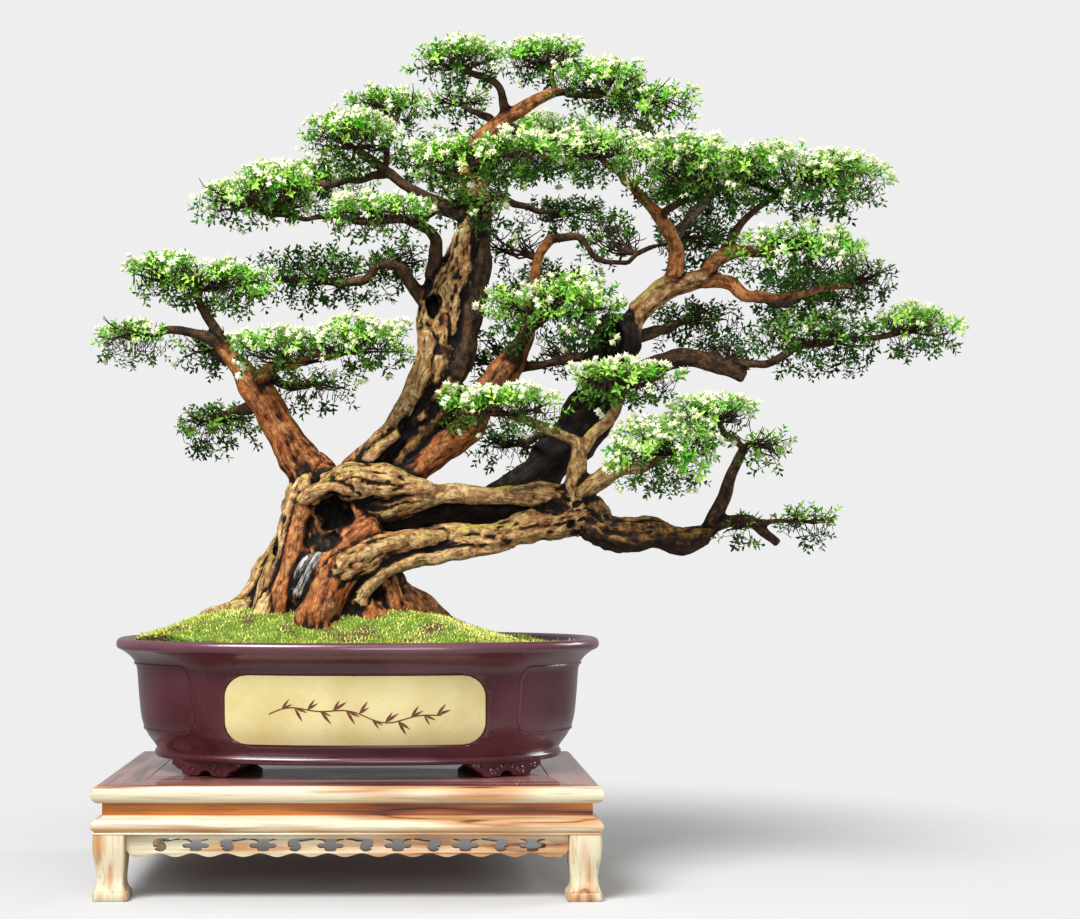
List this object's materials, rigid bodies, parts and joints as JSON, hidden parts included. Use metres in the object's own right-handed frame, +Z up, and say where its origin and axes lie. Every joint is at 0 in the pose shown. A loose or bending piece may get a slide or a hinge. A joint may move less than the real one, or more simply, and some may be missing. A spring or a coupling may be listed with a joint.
{
  "type": "flowering bonsai tree in a pot on a stand",
  "caption": "Old leaning tree with hollow trunk and layered sprays of small leaves and white blossom, in an oval pot with a plaque, on a low carved wooden stand.",
  "frame": {"origin": "on the floor, under the middle of the bounding box of the whole bonsai", "axes": "+Z up; the plaque and the tree's front face -Y; the long limbs lean towards +X"},
  "size_m": [1.3998, 0.5856, 1.3777],
  "materials": {
    "stand_wood": "satin varnish",
    "pot_glaze": "dark purple-brown stoneware with a soft gloss",
    "plaque_clay": "smooth cream clay",
    "moss_and_soil": "moss over soil",
    "bark": "old bark and bare wood",
    "foliage": "small glossy leaves with white stamens"
  },
  "bodies": {
    "root": {"pot": "pot_glaze", "pot_plaque": "plaque_clay", "soil": "moss_and_soil", "spray_apex": "foliage", "spray_apex_back": "foliage", "spray_apex_left": "foliage", "spray_apex_right": "foliage", "spray_centre_back": "foliage", "spray_centre_front": "foliage", "spray_crown_back": "foliage", "spray_east_back": "foliage", "spray_east_crown": "foliage", "spray_east_dark": "foliage", "spray_east_far_back": "foliage", "spray_east_low": "foliage", "spray_east_middle": "foliage", "spray_east_shade": "foliage", "spray_east_tip": "foliage", "spray_east_wide": "foliage", "spray_far_twig": "foliage", "spray_front_high": "foliage", "spray_front_left": "foliage", "spray_front_middle": "foliage", "spray_front_right": "foliage", "spray_front_under": "foliage", "spray_heart_left": "foliage", "spray_heart_right": "foliage", "spray_inner_back": "foliage", "spray_knot_front": "foliage", "spray_left_inner": "foliage", "spray_left_low": "foliage", "spray_left_right": "foliage", "spray_left_tip": "foliage", "spray_left_top": "foliage", "spray_left_under": "foliage", "spray_lowest": "foliage", "spray_west_back": "foliage", "spray_west_crown": "foliage", "spray_west_front": "foliage", "spray_west_low": "foliage", "spray_west_tip": "foliage", "spray_west_upper": "foliage", "stand_apron_back": "stand_wood", "stand_apron_front": "stand_wood", "stand_apron_left": "stand_wood", "stand_apron_right": "stand_wood", "stand_frame_back": "stand_wood", "stand_frame_front": "stand_wood", "stand_frame_left": "stand_wood", "stand_frame_right": "stand_wood", "stand_leg_back_left": "stand_wood", "stand_leg_back_right": "stand_wood", "stand_leg_front_left": "stand_wood", "stand_leg_front_right": "stand_wood", "stand_panel": "stand_wood", "stand_waist_back": "stand_wood", "stand_waist_front": "stand_wood", "stand_waist_left": "stand_wood", "stand_waist_right": "stand_wood", "trunk_and_limbs": "bark"}
  },
  "joints": []
}
